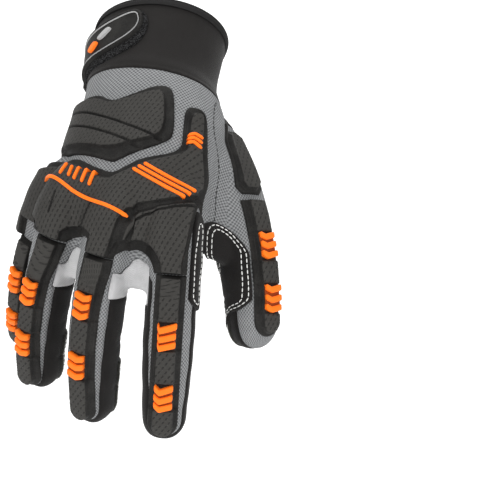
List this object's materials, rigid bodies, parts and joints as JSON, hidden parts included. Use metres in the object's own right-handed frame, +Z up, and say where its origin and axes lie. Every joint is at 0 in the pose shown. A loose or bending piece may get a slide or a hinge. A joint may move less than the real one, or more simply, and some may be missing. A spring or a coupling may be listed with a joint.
{
  "type": "impact glove",
  "caption": "Right-hand work glove with rubber impact guards on back and fingers, padded palm and a hook-and-loop cuff strap, shown filled with the fingers hanging.",
  "frame": {"origin": "middle of the wrist opening, at the cuff's mouth", "axes": "+Z up, with the fingers hanging towards -Z; -Y out of the back of the hand, +X towards the thumb"},
  "size_m": [0.1533, 0.1109, 0.2342],
  "materials": {
    "neoprene": "matt warm-black foam-backed cuff cloth",
    "mesh": "mid-grey knitted mesh with small cells",
    "suede": "black synthetic suede",
    "leather": "dark olive-grey grained leather, slightly glossy",
    "lining": "light grey stretch cloth",
    "binding": "black woven edge binding",
    "hook": "black hook cloth",
    "rubber": "matt dark charcoal moulded rubber",
    "orange": "satin orange moulded rubber",
    "pale": "pale grey moulded rubber"
  },
  "bodies": {
    "root": {"cuff": "neoprene", "cuff_binding": "binding", "strap_base": "hook", "strap": "rubber", "strap_tab": "rubber", "strap_tab_mark": "orange", "strap_badge_bar": "pale", "strap_badge_dot": "orange", "hand_back": "mesh", "palm_panel": "suede", "gusset_index_middle": "lining", "gusset_middle_ring": "lining", "gusset_ring_little": "lining", "back_pad": "rubber", "knuckle_guard": "rubber", "knuckle_line": "orange", "thumb_pad": "rubber", "arm_ribs": "orange", "palm_pad_knuckle": "leather", "palm_pad_thumb": "leather", "palm_pad_heel": "leather", "vent_binding": "binding", "crotch_patch": "suede", "knuckle_bar_1": "orange", "knuckle_bar_2": "orange", "knuckle_bar_3": "orange", "knuckle_mark_1": "orange", "knuckle_mark_2": "orange", "knuckle_mark_3": "orange", "knuckle_mark_4": "orange", "knuckle_mark_5": "orange", "index_guard": "rubber", "tip_patch_index": "leather", "index_ribs_upper": "orange", "index_ribs_lower": "orange", "middle_guard": "rubber", "tip_patch_middle": "leather", "middle_ribs_upper": "orange", "middle_ribs_lower": "orange", "ring_guard": "rubber", "tip_patch_ring": "leather", "ring_ribs_upper": "orange", "ring_ribs_lower": "orange", "little_guard": "rubber", "tip_patch_little": "leather", "little_ribs_upper": "orange", "little_ribs_lower": "orange", "thumb_guard": "rubber", "tip_patch_thumb": "leather", "thumb_ribs_upper": "orange", "thumb_ribs_lower": "orange"}
  },
  "joints": []
}
